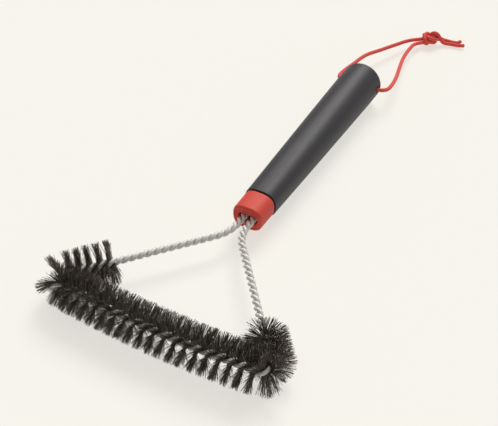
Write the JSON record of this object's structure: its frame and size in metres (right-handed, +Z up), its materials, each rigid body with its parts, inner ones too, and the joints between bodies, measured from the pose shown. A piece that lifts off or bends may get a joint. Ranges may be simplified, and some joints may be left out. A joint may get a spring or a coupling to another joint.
{
  "type": "grill cleaning brush",
  "caption": "Three-sided twisted-wire grill brush with dark steel bristles, a black handle with a red front collar, and a hanging cord that swings on its hole.",
  "frame": {"origin": "centre of the flat end face at the rear of the handle", "axes": "+Y along the handle away from the brush head, +X along the front bar to the right, +Z up from the plane of the wire frame"},
  "size_m": [0.1768, 0.4169, 0.0308],
  "materials": {
    "handle_plastic": "satin",
    "collar_plastic": "satin",
    "clamp_plastic": "matte",
    "frame_wire": "bright drawn wire",
    "bristle_steel": "dark spring steel",
    "cord_fabric": "woven"
  },
  "bodies": {
    "brush": {"handle_shell": "handle_plastic", "front_collar": "collar_plastic", "wire_clamp_upper": "clamp_plastic", "wire_clamp_lower": "clamp_plastic", "wire_strand_a": "frame_wire", "wire_strand_b": "frame_wire", "bristle_tuft_01": "bristle_steel", "bristle_tuft_02": "bristle_steel", "bristle_tuft_03": "bristle_steel", "bristle_tuft_04": "bristle_steel", "bristle_tuft_05": "bristle_steel", "bristle_tuft_06": "bristle_steel", "bristle_tuft_07": "bristle_steel", "bristle_tuft_08": "bristle_steel", "bristle_tuft_09": "bristle_steel", "bristle_tuft_10": "bristle_steel", "bristle_tuft_11": "bristle_steel", "bristle_tuft_12": "bristle_steel", "bristle_tuft_13": "bristle_steel", "bristle_tuft_14": "bristle_steel"},
    "cord": {"hanging_cord": "cord_fabric"}
  },
  "joints": [
    {"name": "cord_swing", "type": "hinge", "parent": "brush", "child": "cord", "pos_m": [0, -0.0063, 0], "axis": [1, 0, 0], "range_deg": [-120, 120]}
  ]
}
